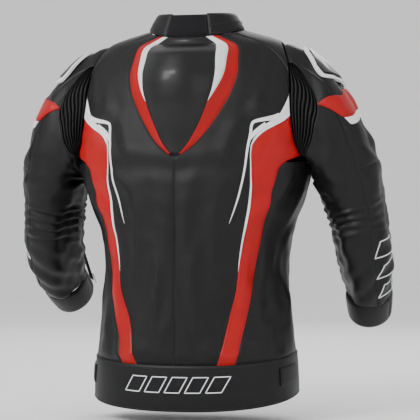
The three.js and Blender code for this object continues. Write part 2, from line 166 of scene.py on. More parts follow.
def skin(angle, h):
    """The torso with the hump raised on it."""
    angle, h = np.broadcast_arrays(np.asarray(angle, float), np.asarray(h, float))
    p = torso(angle, h)
    across = np.minimum(np.abs(angle) / hump_edge(h), 1)
    rise = HUMP_RISE * curve(HUMP_ALONG, h) * (1 - across**2) ** 1.5
    p[..., 1] -= np.where(h > HUMP_TIP, rise, 0)
    return p


def collar(angle, v):
    angle, v = np.broadcast_arrays(np.asarray(angle, float), np.asarray(v, float))
    s, c = np.sin(np.radians(angle)), np.cos(np.radians(angle))
    foot = torso(angle, NECK_HEIGHT) + np.array([0, 0, 1.5])
    rim = mix(np.where(c > 0, 699.0, 652.0), 702.0, 1 - np.abs(c) ** 1.5)
    top = np.stack([71 * s, np.where(c > 0, -54.0, 80.0) * np.abs(c), rim], -1)
    return mix(foot, top, v[..., None])


def armhole_point(angle):
    s, c = np.sin(np.radians(angle)), np.cos(np.radians(angle))
    e = 2 / ARMHOLE_POWER
    return torso(ARMHOLE_ANGLE - (ARMHOLE_SPREAD - 1) * signed_power(s, e),
                 ARMHOLE_HEIGHT + (ARMHOLE_HALF - 3) * signed_power(c, e))


def armhole_span(h):
    """Angles round the body where the armhole crosses a height, the back edge first."""
    q = np.minimum(np.abs(np.asarray(h, float) - ARMHOLE_HEIGHT) / ARMHOLE_HALF, 1)
    w = ARMHOLE_SPREAD * (1 - q**ARMHOLE_POWER) ** (1 / ARMHOLE_POWER)
    return ARMHOLE_ANGLE - w, ARMHOLE_ANGLE + w


def arm_path(side):
    """Points down the middle of the sleeve, and the length to each."""
    points = [np.array(ARM_START), np.array(ELBOW)]
    for i, step in enumerate(FOREARM_STEPS):
        a = math.radians(FOREARM_ANGLES[side][i])
        points.append(points[-1] + np.array([step * 0.1 * (1 - i), step * math.sin(a), -step * math.cos(a)]))
    line = []
    for i in range(len(points) - 1):
        p1, p2 = points[i], points[i + 1]
        p0 = points[i - 1] if i else 2 * p1 - p2
        p3 = points[i + 2] if i + 2 < len(points) else 2 * p2 - p1
        d0, d1, d2 = (math.sqrt(np.linalg.norm(b - a)) for a, b in ((p0, p1), (p1, p2), (p2, p3)))
        t1 = ((p1 - p0) / d0 - (p2 - p0) / (d0 + d1) + (p2 - p1) / d1) * d1
        t2 = ((p2 - p1) / d1 - (p3 - p1) / (d1 + d2) + (p3 - p2) / d2) * d1
        t = np.linspace(0, 1, 200, endpoint=False)[:, None]
        line.append(p1 * (2 * t**3 - 3 * t * t + 1) + p2 * (3 * t * t - 2 * t**3)
                    + t1 * (t**3 - 2 * t * t + t) + t2 * (t**3 - t * t))
    line = np.concatenate(line + [points[-1][None]])
    steps = np.linalg.norm(np.diff(line, axis=0), axis=1)
    return line, np.concatenate([[0], np.cumsum(steps)])


ARM_PATHS = {side: arm_path(side) for side in (1, -1)}


def arm_frame(side, d):
    """Centre of the sleeve and its directions along, outward and behind, at a length down the arm."""
    line, length = ARM_PATHS[side]
    d = np.asarray(d, float)
    u = np.clip(d, 0, length[-1])

    def at(x):
        return np.stack([np.interp(np.clip(x, 0, length[-1]), length, line[:, k]) for k in range(3)], -1)

    along = at(u + 3) - at(u - 3)
    along /= np.linalg.norm(along, axis=-1, keepdims=True)
    sideways = np.array([1, 0, 0.12])
    out = sideways - along * (along @ sideways)[..., None]
    out /= np.linalg.norm(out, axis=-1, keepdims=True)
    return at(u) + along * (d - u)[..., None], along, out, np.cross(along, out)


def arm_tube(side, angle, d):
    centre, _, out, behind = arm_frame(side, d)
    a = np.radians(angle)
    return (centre + out * (curve(ARM_WIDTH, d, 1) * np.cos(a))[..., None]
            + behind * (curve(ARM_WIDTH, d, 2) * np.sin(a))[..., None])


def sleeve(side):
    """Surface of one sleeve, as a function of the angle round it and the length down it."""
    def surface(angle, v):
        angle, v = np.broadcast_arrays(np.asarray(angle, float), np.asarray(v, float))
        c, s = np.cos(np.radians(angle)), np.sin(np.radians(angle))
        top, under, sides = np.maximum(c, 0)[..., None], np.maximum(-c, 0)[..., None], np.abs(s)[..., None]
        a, d = armhole_point(angle), arm_tube(side, angle, np.zeros_like(angle))
        leave = np.concatenate([1 - 0.55 * under, -0.12 * s[..., None], -0.05 * top - 0.9 * under], -1)
        leave /= np.linalg.norm(leave, axis=-1, keepdims=True)
        b = a + leave * (8 + 66 * top + 30 * sides)
        e = d - arm_frame(side, np.zeros_like(angle))[1] * (6 + 55 * top + 34 * sides)
        t = (v / SLEEVE_HEAD)[..., None]
        w = 1 - t
        head = a * w**3 + 3 * b * w * w * t + 3 * e * w * t * t + d * t**3
        tube = arm_tube(side, angle, np.maximum(v - SLEEVE_HEAD, 0))
        return np.where((v >= SLEEVE_HEAD)[..., None], tube, head)
    return surface


# --- Creases: soft folds pressed into the leather, the same for every panel they cross ---
DRAPES = {}
CLOTH_FRAMES, BODY_SETTLE_CAP, SLEEVE_SETTLE_CAP = 20, 4.5, 5.0


def normal_at(surface, a, b, d=0.4):
    du = surface(a + d, b) - surface(a - d, b)
    dv = surface(a, b + d) - surface(a, b - d)
    n = np.cross(du, dv)
    return n / np.maximum(np.linalg.norm(n, axis=-1, keepdims=True), 1e-9)


def wave(x, y, size, seed):
    """Smooth unevenness between -1 and 1, about size across."""
    rng = np.random.default_rng(seed)
    total = np.zeros(np.broadcast(x, y).shape)
    for _ in range(6):
        turn, shift = rng.uniform(0, math.tau, 2)
        pitch = size * rng.uniform(0.7, 1.5)
        total = total + np.sin((x * math.cos(turn) + y * math.sin(turn)) * math.tau / pitch + shift)
    return total / 3.2


def fold(x, y, start, end, width, rise):
    """One long rounded crease from start to end, fading at both ends."""
    (x0, y0), (x1, y1) = start, end
    length = math.hypot(x1 - x0, y1 - y0)
    ux, uy = (x1 - x0) / length, (y1 - y0) / length
    along = (x - x0) * ux + (y - y0) * uy
    off = -(x - x0) * uy + (y - y0) * ux + 0.08 * length * np.sin(along * 3.0 / length)
    fade = ease(0, 0.3 * length, along) * (1 - ease(0.7 * length, length, along))
    return rise * fade * np.exp(-((off / width) ** 2))


# Folds of the body, as ((across, height), (across, height), width, rise) in millimetres from the
# centre back. They hang from the shoulder blades and gather above the waistband.
BODY_FOLDS = (
    ((20, 436), (58, 120), 12, 4.6), ((-18, 436), (-62, 130), 12, 5.0), ((66, 420), (88, 190), 11, 3.8),
    ((-64, 420), (-92, 200), 11, 4.0), ((6, 300), (30, 92), 9, 3.2), ((-8, 290), (-34, 92), 9, 3.0),
    ((40, 330), (44, 100), 8, 3.0), ((-42, 300), (-52, 96), 8, 2.6),
    ((150, 330), (118, 110), 14, 4.6), ((-150, 330), (-116, 120), 14, 4.4), ((178, 300), (165, 100), 13, 4.0),
    ((-180, 310), (-168, 100), 13, 4.0), ((30, 112), (130, 98), 8, 3.2), ((-20, 108), (-120, 100), 8, 3.2),
    ((95, 560), (160, 465), 15, 4.0), ((-95, 560), (-160, 465), 15, 4.0), ((88, 530), (62, 430), 13, 3.4),
    ((-92, 520), (-58, 430), 13, 3.4), ((205, 420), (160, 330), 12, 4.2), ((-205, 420), (-160, 330), 12, 4.2),
    ((230, 260), (290, 150), 16, 4.0), ((-230, 260), (-290, 150), 16, 4.0),
    ((300, 420), (400, 300), 18, 4.0), ((-300, 430), (-400, 310), 18, 4.0), ((330, 250), (440, 150), 16, 3.6),
    ((-330, 240), (-440, 140), 16, 3.6), ((350, 560), (420, 470), 20, 3.4),
    ((-350, 560), (-420, 470), 20, 3.4),
)


def body_creases(angle, h):
    across = np.radians(angle) * 170.0
    total = 1.3 * wave(across, h, 95, 3) + 0.55 * wave(across, h, 36, 8) - 0.5
    for start, end, width, rise in BODY_FOLDS:
        total = total + fold(across, h, start, end, width, rise)
    calm = ease(BAND_TOP, BAND_TOP + 18, h) * (1 - ease(620, 660, h))
    on_hump = 1 - 0.8 * (1 - ease(0.85, 1.05, np.abs(angle) / hump_edge(h))) * ease(450, 480, h)
    return total * calm * on_hump


def sleeve_creases(side):
    """Ripples at the elbow, drag lines below the armhole and soft folds down the forearm."""
    def creases(angle, v):
        turn = (angle + 180) % 360 - 180
        across = np.radians(turn) * 56.0
        sway = 7 * np.sin(np.radians(turn) * 1.5 + 0.6 * side) + 0.05 * across
        elbow = np.exp(-(((v - 248) / 40) ** 2)) * (0.55 + 0.45 * np.sin(np.radians(turn - 60)))
        ripple = 2.9 * elbow * np.sin((v + sway) * math.tau / 15.5 + 0.9 * wave(across, v, 70, 5 + side))
        upper = np.exp(-(((v - 150) / 36) ** 2)) * 2.4 * np.sin((v + 0.55 * across + sway) * math.tau / 42)
        lower = np.exp(-(((v - 345) / 60) ** 2)) * 2.2 * np.sin((v - 0.6 * across + sway) * math.tau / 38)
        total = ripple + upper + lower + 1.3 * wave(across, v, 60, 14 + side) + 0.5 * wave(across, v, 26, 31)
        return total * ease(4, 60, v) * (1 - ease(SLEEVE_END - 30, SLEEVE_END, v))
    return creases


def settle_leather(surface, angles, lengths, growth, cap):
    """Lets an oversized sheet of leather find its own wrinkles between its held edges.

    Returns how far each grid point moved along the surface normal, in millimetres.
    """
    a, b = np.meshgrid(angles, lengths)
    start = surface(a, b)
    across, down = len(angles), len(lengths)
    index = np.arange(across * down).reshape(down, across)
    faces = np.stack([index[:-1, :-1], index[:-1, 1:], index[1:, 1:], index[1:, :-1]], -1).reshape(-1, 4)
    mesh = bpy.data.meshes.new("settling")
    mesh.from_pydata((start.reshape(-1, 3) * 0.001).tolist(), [], faces.tolist())
    obj = bpy.data.objects.new("settling", mesh)
    bpy.context.scene.collection.objects.link(obj)
    held = obj.vertex_groups.new(name="held")
    edge = np.concatenate([index[0], index[-1], index[:, 0], index[:, -1]])
    held.add(np.unique(edge).tolist(), 1.0, "REPLACE")
    cloth = obj.modifiers.new("leather", "CLOTH")
    cloth.settings.quality = 6
    cloth.settings.mass = 0.6
    cloth.settings.tension_stiffness = 30
    cloth.settings.compression_stiffness = 30
    cloth.settings.bending_stiffness = 0.6
    cloth.settings.vertex_group_mass = "held"
    cloth.settings.shrink_min = -growth
    cloth.settings.use_pressure = True
    cloth.settings.uniform_pressure_force = 0.4
    cloth.settings.effector_weights.gravity = 0
    cloth.collision_settings.use_collision = False
    scene = bpy.context.scene
    cloth.point_cache.frame_start, cloth.point_cache.frame_end = 1, CLOTH_FRAMES
    for number in range(1, CLOTH_FRAMES + 1):
        scene.frame_set(number)
    seen = obj.evaluated_get(bpy.context.evaluated_depsgraph_get()).to_mesh()
    moved = np.zeros(len(seen.vertices) * 3, np.float32)
    seen.vertices.foreach_get("co", moved)
    moved = moved.reshape(down, across, 3) * 1000.0 - start
    bpy.data.objects.remove(obj, do_unlink=True)
    bpy.data.meshes.remove(mesh)
    scene.frame_set(1)
    along = np.clip(np.sum(moved * normal_at(surface, a, b), -1), -cap, cap)
    for _ in range(2):
        inner = along[1:-1, 1:-1]
        around = along[:-2, 1:-1] + along[2:, 1:-1] + along[1:-1, :-2] + along[1:-1, 2:]
        along[1:-1, 1:-1] = 0.4 * inner + 0.15 * around
    return along


def draped(key, creases):
    """Creases plus what settle_leather found for that key."""
    def total(angle, v):
        found = DRAPES.get(key)
        if found is None:
            return creases(angle, v)
        angles, lengths, moved = found
        turn = (np.asarray(angle, float) - angles[0]) % 360 + angles[0]
        x = np.clip((turn - angles[0]) / (angles[1] - angles[0]), 0, len(angles) - 1.001)
        y = np.clip((v - lengths[0]) / (lengths[1] - lengths[0]), 0, len(lengths) - 1.001)
        i, j = x.astype(int), y.astype(int)
        fx, fy = x - i, y - j
        grid = (moved[j, i] * (1 - fx) * (1 - fy) + moved[j, i + 1] * fx * (1 - fy)
                + moved[j + 1, i] * (1 - fx) * fy + moved[j + 1, i + 1] * fx * fy)
        return creases(angle, v) + grid
    return total


def no_creases(angle, v):
    return np.zeros(np.broadcast(angle, v).shape)


# --- Materials ---
def new_material(name, colour, rough, metal=0.0, specular=0.27, coat=0.0):
    material = bpy.data.materials.new(name)
    material.use_nodes = True
    shader = material.node_tree.nodes["Principled BSDF"]
    shader.inputs["Base Color"].default_value = (*colour, 1)
    shader.inputs["Roughness"].default_value = rough
    shader.inputs["Metallic"].default_value = metal
    shader.inputs["Specular IOR Level"].default_value = specular
    shader.inputs["Coat Weight"].default_value = coat
    shader.inputs["Coat Roughness"].default_value = 0.12
    material.diffuse_color = (*colour, 1)
    return material, material.node_tree, shader


def node(tree, kind, **inputs):
    made = tree.nodes.new(kind)
    for name, value in inputs.items():
        socket = made.inputs[name.replace("_", " ")]
        if isinstance(value, bpy.types.NodeSocket):
            tree.links.new(value, socket)
        else:
            socket.default_value = value
    return made


def math_node(tree, kind, a, b=None):
    made = tree.nodes.new("ShaderNodeMath")
    made.operation = kind
    for socket, value in zip(made.inputs, (a, b)):
        if value is None:
            continue
        if isinstance(value, bpy.types.NodeSocket):
            tree.links.new(value, socket)
        else:
            socket.default_value = value
    return made.outputs[0]


def wear(tree, shader, colour, rough, spread=0.25):
    """Uneven colour and gloss from handling."""
    place = tree.nodes.new("ShaderNodeTexCoord").outputs["Object"]
    patches = node(tree, "ShaderNodeTexNoise", Vector=place, Scale=22.0, Detail=5.0, Roughness=0.6)
    ramp = tree.nodes.new("ShaderNodeValToRGB")
    ramp.color_ramp.elements[0].color = (*(c * (1 - spread) for c in colour), 1)
    ramp.color_ramp.elements[1].color = (*(min(1, c * (1 + spread)) for c in colour), 1)
    tree.links.new(patches.outputs["Fac"], ramp.inputs["Fac"])
    gloss = node(tree, "ShaderNodeMapRange", Value=patches.outputs["Fac"], To_Min=rough - 0.06,
                 To_Max=rough + 0.1)
    tree.links.new(gloss.outputs["Result"], shader.inputs["Roughness"])
    return place, ramp.outputs["Color"]


def leather_material(name, colour, rough, pitch=0.0, coat=0.0):
    """Grained leather; a pitch in millimetres punches rows of small holes in it."""
    material, tree, shader = new_material(name, colour, rough, coat=coat)
    place, tint = wear(tree, shader, colour, rough)
    pebble = node(tree, "ShaderNodeTexVoronoi", Vector=place, Scale=780.0)
    pebble.feature = "DISTANCE_TO_EDGE"
    wrinkle = node(tree, "ShaderNodeTexNoise", Vector=place, Scale=130.0, Detail=6.0, Roughness=0.65)
    grain = math_node(tree, "MULTIPLY", math_node(tree, "MINIMUM", pebble.outputs["Distance"], 0.12), 2.2)
    height = math_node(tree, "ADD", grain, math_node(tree, "MULTIPLY", wrinkle.outputs["Fac"], 0.8))
    if pitch:
        across = tree.nodes.new("ShaderNodeUVMap").outputs["UV"]
        parts = node(tree, "ShaderNodeSeparateXYZ", Vector=across)
        x = math_node(tree, "MULTIPLY", parts.outputs["X"], 1000 / pitch)
        y = math_node(tree, "MULTIPLY", parts.outputs["Y"], 1000 / (pitch * 0.87))
        odd = math_node(tree, "MULTIPLY", math_node(tree, "MODULO", math_node(tree, "FLOOR", y), 2.0), 0.5)
        fx = math_node(tree, "SUBTRACT", math_node(tree, "FRACT", math_node(tree, "ADD", x, odd)), 0.5)
        fy = math_node(tree, "SUBTRACT", math_node(tree, "FRACT", y), 0.5)
        square = math_node(tree, "ADD", math_node(tree, "MULTIPLY", fx, fx),
                           math_node(tree, "MULTIPLY", fy, fy))
        hole = node(tree, "ShaderNodeMapRange", Value=math_node(tree, "SQRT", square),
                    From_Min=0.17, From_Max=0.27, To_Min=1.0, To_Max=0.0).outputs["Result"]
        blend = node(tree, "ShaderNodeMix")
        blend.data_type = "RGBA"
        tree.links.new(hole, blend.inputs[0])
        tree.links.new(tint, blend.inputs[6])
        blend.inputs[7].default_value = (0.002, 0.002, 0.002, 1)
        tint = blend.outputs[2]
        height = math_node(tree, "SUBTRACT", height, math_node(tree, "MULTIPLY", hole, 2.4))
    tree.links.new(tint, shader.inputs["Base Color"])
    bump = node(tree, "ShaderNodeBump", Height=height, Strength=0.34, Distance=0.00045)
    tree.links.new(bump.outputs["Normal"], shader.inputs["Normal"])
    return material


def woven_material(name, colour, rough, pitch, lift=0.3):
    """Cloth with crossing threads, pitch apart in millimetres."""
    material, tree, shader = new_material(name, colour, rough, specular=0.25)
    place, tint = wear(tree, shader, colour, rough, 0.18)
    tree.links.new(tint, shader.inputs["Base Color"])
    parts = node(tree, "ShaderNodeSeparateXYZ", Vector=place)
    turns = math.tau * 1000 / pitch
    threads = [math_node(tree, "SINE", math_node(tree, "MULTIPLY", parts.outputs[axis], turns))
               for axis in "XZ"]
    height = math_node(tree, "MULTIPLY", threads[0], threads[1])
    bump = node(tree, "ShaderNodeBump", Height=height, Strength=lift, Distance=0.0003)
    tree.links.new(bump.outputs["Normal"], shader.inputs["Normal"])
    return material


def hard_material(name, colour, rough, metal, coat=0.0):
    """Moulded plastic or metal with fine rubbing marks."""
    material, tree, shader = new_material(name, colour, rough, metal, coat=coat)
    _, tint = wear(tree, shader, colour, rough, 0.12)
    tree.links.new(tint, shader.inputs["Base Color"])
    return material


FINISHES = {}


def finish(name):
    """The finish of that name, made the first time it is asked for."""
    if name in FINISHES:
        return FINISHES[name]
    colours = bpy.context.scene.jacket_colours
    size = bpy.context.scene.jacket_sizes
    black, red, white = (tuple(colours.black), tuple(colours.red), tuple(colours.white))
    makers = {
        "black_leather": lambda: leather_material("black_leather", black, 0.43),
        # The hump leather is the black leather made 1.4 times lighter. That is painted sheen standing in for the
        # soft grey highlight down the hump. Its clear coat is real gloss.
        "hump_leather": lambda: leather_material("hump_leather", tuple(1.4 * c for c in black), 0.36,
                                                 coat=0.12),
        "punched_leather": lambda: leather_material("punched_leather", black, 0.46, size.hole_pitch * 1000),
        "red_leather": lambda: leather_material("red_leather", red, 0.4),
        "white_leather": lambda: leather_material("white_leather", white, 0.42),
        "lining": lambda: woven_material("lining", tuple(1.3 * c for c in black), 0.85, 2.2),
        "stretch": lambda: woven_material("stretch", tuple(colours.stretch), 0.72, 1.3, 0.5),
        "neoprene": lambda: woven_material("neoprene", tuple(1.2 * c for c in colours.stretch), 0.88, 1.0,
                                           0.4),
        "tape": lambda: woven_material("tape", black, 0.85, 1.1, 0.4),
        "webbing": lambda: woven_material("webbing", black, 0.8, 1.6, 0.5),
        "foam": lambda: woven_material("foam", (0.07, 0.075, 0.08), 0.92, 3.0, 0.6),
        "cup": lambda: hard_material("cup", (0.008, 0.008, 0.01), 0.16, 0.0, 0.6),
        "metal": lambda: hard_material("metal", (0.33, 0.34, 0.35), 0.3, 1.0),
        "dark_thread": lambda: new_material("dark_thread", (0.022, 0.022, 0.024), 0.7)[0],
        "red_thread": lambda: new_material("red_thread", tuple(0.7 * c for c in red), 0.7)[0],
        "white_print": lambda: new_material("white_print", white, 0.5)[0],
    }
    FINISHES[name] = makers[name]()
    return FINISHES[name]


# --- Sewing: closed panels with turned edges and top stitching ---
EDGE_STEPS = (0.0, 0.7, 1.5, 2.5, 3.8, 5.4)


def spread(length, step):
    """Distances from 0 to length, close together at the ends where the leather turns in."""
    if length < 2.4 * EDGE_STEPS[-1]:
        return np.linspace(0, length, max(4, int(length / 1.2)))
    middle = length - 2 * EDGE_STEPS[-1]
    count = max(1, int(round(middle / step)))
    inner = EDGE_STEPS[-1] + middle * np.arange(1, count) / count
    return np.concatenate([EDGE_STEPS, inner, length - np.array(EDGE_STEPS[::-1])])


def lengths_along(points, axis):
    steps = np.linalg.norm(np.diff(points, axis=axis), axis=-1)
    pad = [(0, 0)] * steps.ndim
    pad[axis] = (1, 0)
    return np.pad(np.cumsum(steps, axis=axis), pad)


def make_object(name, points, faces, material_index, materials, side, uv=None):
    mesh = bpy.data.meshes.new(name)
    mesh.from_pydata(to_frame(points, side).tolist(), [], faces)
    for material in materials:
        mesh.materials.append(finish(material))
    mesh.polygons.foreach_set("material_index", np.asarray(material_index, np.int32))
    if uv is not None:
        layer = mesh.uv_layers.new(name="UVMap")
        corners = np.zeros(len(mesh.loops), np.int32)
        mesh.loops.foreach_get("vertex_index", corners)
        layer.data.foreach_set("uv", (uv[corners] * 0.001).astype(np.float32).ravel())
    build = bmesh.new()
    build.from_mesh(mesh)
    bmesh.ops.recalc_face_normals(build, faces=build.faces)
    build.to_mesh(mesh)
    build.free()
    mesh.polygons.foreach_set("use_smooth", np.ones(len(mesh.polygons), bool))
    mesh.set_sharp_from_angle(angle=math.radians(50))
    obj = bpy.data.objects.new(name, mesh)
    bpy.context.scene.collection.objects.link(obj)
    return obj


def box_faces(first):
    """Six faces of a box whose eight corners start at first: four round one end, then the other."""
    a = first
    return [[a, a + 1, a + 2, a + 3], [a + 7, a + 6, a + 5, a + 4]] + [
        [a + i, a + 4 + i, a + 4 + (i + 1) % 4, a + (i + 1) % 4] for i in range(4)]


def stitch_line(points, normals, stitch, gap, thread, sunk=0.15):
    """Corners of short raised stitches along a line of points."""
    length = lengths_along(points, 0)
    starts = np.arange(gap, length[-1] - stitch - gap, stitch + gap)
    if not len(starts):
        return np.zeros((0, 3))

    def at(x, values):
        return np.stack([np.interp(x, length, values[:, k]) for k in range(3)], -1)

    p, q, n = at(starts, points), at(starts + stitch, points), at(starts + stitch / 2, normals)
    n /= np.linalg.norm(n, axis=1, keepdims=True)
    d = q - p
    w = np.cross(d, n)
    w *= thread / np.linalg.norm(w, axis=1, keepdims=True)
    low, high = -n * sunk, n * thread
    corners = [p + w + low, p - w + low, p - 0.6 * w + high, p + 0.6 * w + high,
               q + w + low, q - w + low, q - 0.6 * w + high, q + 0.6 * w + high]
    return np.stack(corners, 1).reshape(-1, 3)


def panel(name, surface, low, high, rows, material, side=1, *, swap=False, creases=no_creases, lift=0.0,
          thick=3.6, sink=1.3, ends=(1, 1), edges=(1, 1), puff=0.0, stitches=(1, 1), thread="dark_thread",
          relief=None, step=6.0, inside="lining", fine=None):
    """A closed piece of leather between low(row) and high(row) on a surface.

    Rows run along the second surface value, or along the first with swap. sink turns the edges in,
    edges and ends say which of them are seams, and puff pads the middle out.
    """
    size = bpy.context.scene.jacket_sizes

    def place(s, row):
        value = mix(low(row), high(row), s)
        return (row, value) if swap else (value, row)

    first, last = rows
    guide = np.linspace(first, last, 60)
    spine = surface(*place(0.5, guide))
    run = lengths_along(spine, 0)
    row_at = np.interp(spread(run[-1], step if fine is None else fine), run, guide)
    chords = surface(*place(np.linspace(0, 1, 24)[:, None], np.linspace(first, last, 9)[None, :]))
    widest = lengths_along(chords, 0)[-1].max()
    s_at = spread(widest, step) / widest if relief is None else np.linspace(0, 1, relief[1])
    row, s = np.meshgrid(row_at, s_at, indexing="ij")
    a, b = place(s, row)
    base = surface(a, b)
    normal = normal_at(surface, a, b)
    across, down = lengths_along(base, 1), lengths_along(base, 0)
    far = np.full(base.shape[:2], 1e3)
    from_low = across if edges[0] else far
    from_high = across[:, -1:] - across if edges[1] else far
    from_first = down if ends[0] else far
    from_last = down[-1:] - down if ends[1] else far
    nearest = np.minimum(np.minimum(from_low, from_high), np.minimum(from_first, from_last))
    offset = lift - sink * np.exp(-((nearest / 2.6) ** 2)) + puff * (1 - np.exp(-nearest / 11.0))
    offset = offset + creases(a, b)
    if relief is not None:
        offset = offset + relief[0](s, (row - first) / (last - first))
    outer = base + normal * offset[..., None]
    inner = base + normal * np.minimum(offset - thick, lift + creases(a, b) * 0.5 - thick + 0.4)[..., None]
    count, wide = row.shape
    index = np.arange(count * wide).reshape(count, wide)
    outside = np.stack([index[:-1, :-1], index[:-1, 1:], index[1:, 1:], index[1:, :-1]], -1).reshape(-1, 4)
    under = outside[:, ::-1] + count * wide
    rim = np.concatenate([index[0, :-1], index[:-1, -1], index[-1, :0:-1], index[:0:-1, 0]])
    after = np.roll(rim, -1)
    wall = np.stack([rim, after, after + count * wide, rim + count * wide], -1)
    faces = outside.tolist() + under.tolist() + wall.tolist()
    indices = [0] * len(outside) + [1] * len(under) + [0] * len(wall)
    points = [outer.reshape(-1, 3), inner.reshape(-1, 3)]
    flat = np.stack([across - across.mean(1, keepdims=True), down], -1).reshape(-1, 2)
    uv = [flat, flat]
    seam = size.seam_to_stitch * 1000
    made = 2 * count * wide
    for wanted, distances in zip(stitches, (from_low, from_high)):
        if not wanted or widest < 2.6 * seam:
            continue
        column = np.abs(distances - seam).argmin(1)
        keep = distances[np.arange(count), column] < 2 * seam
        if keep.sum() < 4:
            continue
        pick = (np.arange(count)[keep], column[keep])
        line = stitch_line(outer[pick], normal[pick], size.stitch * 1000, 1.3, 0.32)
        for k in range(len(line) // 8):
            faces += box_faces(made + 8 * k)
        indices += [2] * (6 * (len(line) // 8))
        points.append(line)
        uv.append(np.zeros((len(line), 2)))
        made += len(line)
    return make_object(name, np.concatenate(points), faces, indices, (material, inside, thread), side,
                       np.concatenate(uv))


def ribbon(name, surface, path, width, material, side=1, *, lift=0.9, thick=0.8, closed=False,
           creases=no_creases, round_top=0.0):
    """A narrow strip along a path of surface values; width may change along it."""
    path = np.asarray(path, float)
    a, b = path[:, 0], path[:, 1]
    base, normal = surface(a, b), normal_at(surface, a, b)
    centre = base + normal * (lift + creases(a, b))[..., None]
    if closed:
        tangent = np.roll(centre, -1, 0) - np.roll(centre, 1, 0)
    else:
        tangent = np.gradient(centre, axis=0)
    across = np.cross(tangent, normal)
    across /= np.maximum(np.linalg.norm(across, axis=1, keepdims=True), 1e-9)
    half = np.broadcast_to(np.asarray(width, float), len(path))[:, None] / 2
    ring = [centre - across * half - normal * thick, centre - across * half,
            centre + normal * round_top, centre + across * half, centre + across * half - normal * thick]
    points = np.stack(ring, 1)
    count, m = len(path), len(ring)
    faces = []
    for i in range(count if closed else count - 1):
        j = (i + 1) % count
        faces += [[i * m + k, i * m + (k + 1) % m, j * m + (k + 1) % m, j * m + k] for k in range(m)]
    if not closed:
        faces += [list(range(m)), list(range(count * m - 1, (count - 1) * m - 1, -1))]
    return make_object(name, points.reshape(-1, 3), faces, [0] * len(faces), (material,), side)


def row_of_teeth(name, start, along, off, length, pitch, size, material, side=1):
    """Small blocks in a straight row: size is (along, across, off)."""
    d = np.asarray(along, float) / np.linalg.norm(along)
    n = np.asarray(off, float) - d * (np.asarray(off, float) @ d)
    n /= np.linalg.norm(n)
    w = np.cross(d, n)
    first = np.arange(pitch / 2, length - pitch / 2, pitch)
    corner = np.array([[i, j, k] for i in (-0.5, 0.5) for j, k in ((-0.5, 0), (0.5, 0), (0.4, 1), (-0.4, 1))])
    local = corner[:, :1] * d * size[0] + corner[:, 1:2] * w * size[1] + corner[:, 2:] * n * size[2]
    points = (np.asarray(start) + first[:, None, None] * d + local[None]).reshape(-1, 3)
    faces = [f for k in range(len(first)) for f in box_faces(8 * k)]
    return make_object(name, points, faces, [0] * len(faces), (material,), side)


def dress(obj, body, slot, *nodes):
    """Rides a finished piece on its body and hides the nodes it stands for."""
    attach(obj, body)
    if nodes:
        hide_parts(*nodes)
    return obj


def sew(body, slot, nodes, name, *cut, **finishing):
    """A panel that rides one body from the start."""
    return dress(panel(name, *cut, **finishing), body, slot, *nodes)


def bend(obj, first, second, start, end, side, slot, *nodes):
    """For a piece that crosses a joint: hides the nodes it stands for and bakes its transform, without riding a
    body or bending; start and end are in jacket millimetres.
    """
    if nodes:
        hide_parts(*nodes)
    tuple(to_frame(np.asarray(start, float), side))
    tuple(to_frame(np.asarray(end, float), side))
    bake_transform(obj)
    return obj


# --- Settings ---
class JacketSizes(bpy.types.PropertyGroup):
    """Sizes of the sewing and of the leather."""
    stitch: bpy.props.FloatProperty(
        name="Stitch", description="Length of one top stitch", default=0.0028, unit="LENGTH")
    seam_to_stitch: bpy.props.FloatProperty(
        name="Seam to stitch", description="From a seam to its row of stitches", default=0.0034, unit="LENGTH")
    hole_pitch: bpy.props.FloatProperty(
        name="Hole pitch", description="Between the punched holes of the back", default=0.0044, unit="LENGTH")
    rib_height: bpy.props.FloatProperty(
        name="Rib height", description="Height of the shoulder ribs", default=0.0046, unit="LENGTH")
    leather_growth: bpy.props.FloatProperty(
        name="Spare leather", description="Share of spare length that the leather wrinkles with", default=0.02)


class JacketColours(bpy.types.PropertyGroup):
    """Colours of the leathers and the stretch cloth."""
    black: bpy.props.FloatVectorProperty(
        name="Black", description="Main leather", subtype="COLOR", default=(0.003, 0.003, 0.0036),
        min=0, max=1)
    red: bpy.props.FloatVectorProperty(
        name="Red", description="Stripes and arm bands", subtype="COLOR", default=(0.38, 0.0004, 0.0015),
        min=0, max=1)
    white: bpy.props.FloatVectorProperty(
        name="White", description="Edging and prints", subtype="COLOR", default=(0.8, 0.81, 0.83),
        min=0, max=1)
    stretch: bpy.props.FloatVectorProperty(
        name="Stretch", description="Ribbed stretch cloth", subtype="COLOR", default=(0.0065, 0.0065, 0.0075),
        min=0, max=1)


# --- Body panels ---
def constant(value):
    return lambda x: np.full(np.shape(x), float(value))


def stripe_inner(h):
    return curve(STRIPE_INNER, h)


def stripe_outer(h):
    h = np.asarray(h, float)
    return np.where(h < 446, curve(STRIPE_OUTER, h), armhole_span(h)[0])


WHITE_WIDTH = ((240, 0.05), (290, 1.1), (343, 1.5), (385, 1.2), (417, 0.6), (450, 0.5), (462, 0.6), (475, 1.6),
               (486, 3.2), (498, 6.8), (508, 8.6), (514, 8.2), (522, 9.0), (556, 9.0))


def white_edge(h):
    """Where the white of the side stripe meets its red."""
    return np.minimum(stripe_inner(h) + curve(WHITE_WIDTH, h), stripe_outer(h) - 0.15)


# White appliques beside the stripe, as (angle, height, width).
EDGE_LINE = ((49, 516, 10), (45, 512, 9), (40, 509, 7), (35.6, 507, 5.6), (33.1, 503.5, 4.8), (32.4, 494, 4.4),
             (32.4, 480, 4.8), (32.0, 465, 4.4), (31.8, 445, 3.8), (31.6, 420, 3.4), (31.0, 380, 3.1),
             (29.8, 352, 2.2), (28, 328, 0.5))
EDGE_LINK = ((40.5, 499, 9), (37.5, 493, 8), (34.6, 485, 7), (32.4, 474, 4.6))


def hump_white_edge(h):
    return mix(hump_piping(h), hump_edge(h), curve(((545, 0.02), (600, 0.38), (660, 0.56)), h))


